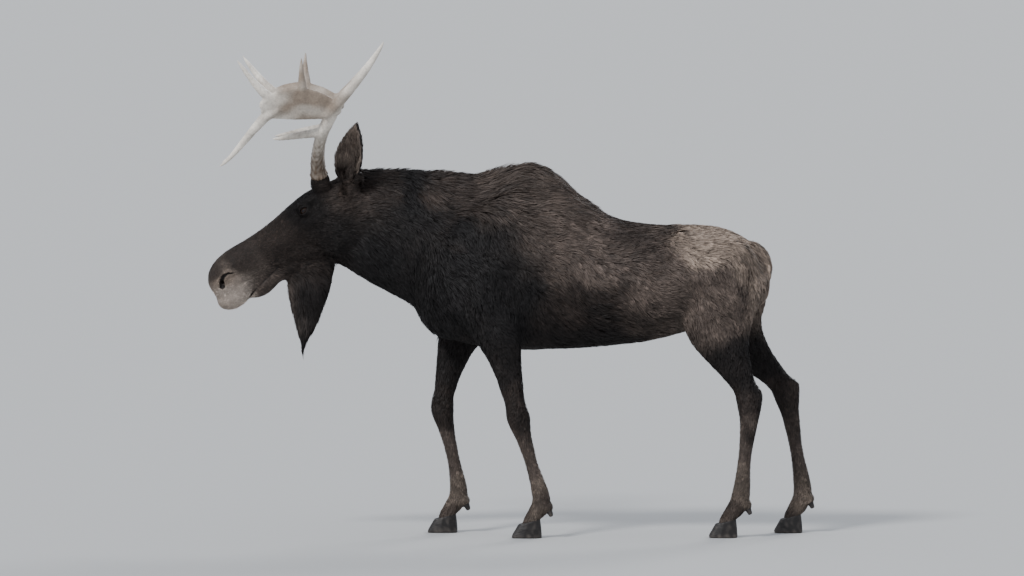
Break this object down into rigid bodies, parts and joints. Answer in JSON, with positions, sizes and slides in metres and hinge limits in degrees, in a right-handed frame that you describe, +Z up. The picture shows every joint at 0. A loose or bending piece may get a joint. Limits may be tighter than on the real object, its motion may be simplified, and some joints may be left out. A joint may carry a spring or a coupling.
{
  "type": "moose",
  "caption": "Life-size still model of a bull moose in mid-stride, with a shoulder hump, drooping muzzle, throat bell, cupped ears, palmate antlers and cloven hooves.",
  "frame": {"origin": "on the floor, in the middle of the animal's bounding box", "axes": "-X towards the nose, +Y towards the animal's right side, +Z up"},
  "size_m": [2.8814, 0.934, 2.3466],
  "materials": {
    "coat": "coarse dark brown to black hair",
    "leg_coat": "short grey-brown hair",
    "ear_coat": "short dark brown hair, paler inside",
    "horn": "dull black-brown horn",
    "antler": "dry bone, brown in the grooves and polished pale at the points",
    "eye": "glossy dark brown"
  },
  "bodies": {
    "root": {"antler_left_beam": "antler", "antler_left_brow": "antler", "antler_left_palm": "antler", "antler_right_beam": "antler", "antler_right_brow": "antler", "antler_right_palm": "antler", "bell": "coat", "dewclaw_front_left_inner": "horn", "dewclaw_front_left_outer": "horn", "dewclaw_front_right_inner": "horn", "dewclaw_front_right_outer": "horn", "dewclaw_hind_left_inner": "horn", "dewclaw_hind_left_outer": "horn", "dewclaw_hind_right_inner": "horn", "dewclaw_hind_right_outer": "horn", "ear_left": "ear_coat", "ear_right": "ear_coat", "eye_left": "eye", "eye_right": "eye", "head": "coat", "hoof_front_left_inner": "horn", "hoof_front_left_outer": "horn", "hoof_front_right_inner": "horn", "hoof_front_right_outer": "horn", "hoof_hind_left_inner": "horn", "hoof_hind_left_outer": "horn", "hoof_hind_right_inner": "horn", "hoof_hind_right_outer": "horn", "leg_front_left": "leg_coat", "leg_front_right": "leg_coat", "leg_hind_left": "leg_coat", "leg_hind_right": "leg_coat", "neck": "coat", "tail": "coat", "trunk": "coat"}
  },
  "joints": []
}
